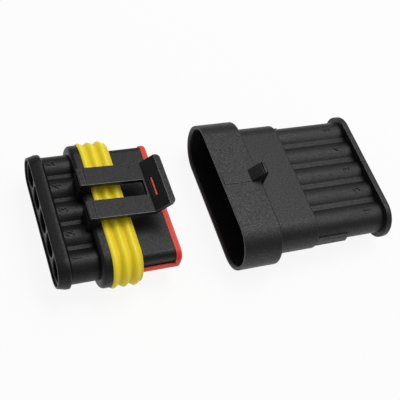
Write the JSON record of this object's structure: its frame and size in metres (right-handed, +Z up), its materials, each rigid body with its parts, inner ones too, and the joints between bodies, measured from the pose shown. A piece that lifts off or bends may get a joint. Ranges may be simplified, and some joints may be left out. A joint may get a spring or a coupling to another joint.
{
  "type": "sealed automotive connector",
  "caption": "Sealed in-line wire connector, unplugged: a plug with ribbed ring seal, red lock and latch, and the hooded cap it mates with, ways in one row.",
  "frame": {"origin": "bottom centre of the whole part's box, on the plane that the cap's hood rests on", "axes": "+X along the mating axis from the plug to the cap, +Y along the row of ways, +Z up through the latch"},
  "size_m": [0.079, 0.0378, 0.0166],
  "materials": {
    "black_housing": "fine moulded texture",
    "yellow_seal": "smooth silicone",
    "red_lock": "smooth moulded",
    "contact_metal": "tin plated"
  },
  "bodies": {
    "plug": {"plug_housing": "black_housing", "ring_seal": "yellow_seal", "receptacle_contact_1": "contact_metal", "receptacle_contact_2": "contact_metal", "receptacle_contact_3": "contact_metal", "receptacle_contact_4": "contact_metal", "receptacle_contact_5": "contact_metal"},
    "latch": {"latch_lever": "black_housing"},
    "plug_lock": {"plug_lock_plate": "red_lock"},
    "cap": {"cap_housing": "black_housing", "tab_contact_1": "contact_metal", "tab_contact_2": "contact_metal", "tab_contact_3": "contact_metal", "tab_contact_4": "contact_metal", "tab_contact_5": "contact_metal"},
    "cap_lock": {"cap_lock_plate": "red_lock"}
  },
  "joints": [
    {"name": "latch_lift", "type": "hinge", "parent": "plug", "child": "latch", "pos_m": [-0.03025, 0, 0.0133], "axis": [0, -1, 0], "range_deg": [0, 13], "stiffness_Nm_per_rad": 0.5},
    {"name": "plug_lock_slide", "type": "slide", "parent": "plug", "child": "plug_lock", "axis": [1, 0, 0], "range_m": [0, 0.0008]},
    {"name": "mate", "type": "slide", "parent": "plug", "child": "cap", "axis": [-1, 0, 0], "range_m": [0, 0.0287]},
    {"name": "cap_lock_slide", "type": "slide", "parent": "cap", "child": "cap_lock", "axis": [-1, 0, 0], "range_m": [0, 0.0008]}
  ]
}
